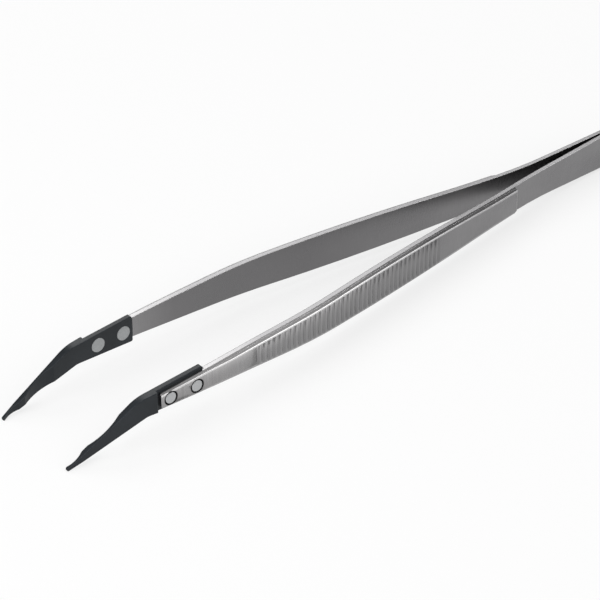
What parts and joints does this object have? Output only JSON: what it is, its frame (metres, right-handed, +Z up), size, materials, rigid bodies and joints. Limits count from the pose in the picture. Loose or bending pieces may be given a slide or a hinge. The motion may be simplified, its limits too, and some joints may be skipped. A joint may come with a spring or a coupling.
{
  "type": "weight tweezers",
  "caption": "Long weight tweezers: sprung steel arms with serrated grips, welded together at the rear, each with a bent grey plastic tip riveted to its front.",
  "frame": {"origin": "centre of the bounding box's lower face, on the surface the tweezers lie on", "axes": "+X from the tips to the welded end, +Y across the opening from the left arm to the right arm, +Z up, across the width of the strips"},
  "size_m": [0.2302, 0.0362, 0.0138],
  "materials": {
    "steel": "satin",
    "tip_plastic": "matt",
    "rivet_steel": "matt"
  },
  "bodies": {
    "left_half": {"arm_left": "steel", "tip_left": "tip_plastic", "rivet_left_front": "rivet_steel", "rivet_left_rear": "rivet_steel"},
    "right_half": {"arm_right": "steel", "tip_right": "tip_plastic", "rivet_right_front": "rivet_steel", "rivet_right_rear": "rivet_steel"}
  },
  "joints": [
    {"name": "squeeze", "type": "hinge", "parent": "left_half", "child": "right_half", "pos_m": [0.07952, 0, 0.00672], "axis": [0.0186, 0, 0.9998], "range_deg": [0, 8.4], "stiffness_Nm_per_rad": 3}
  ]
}
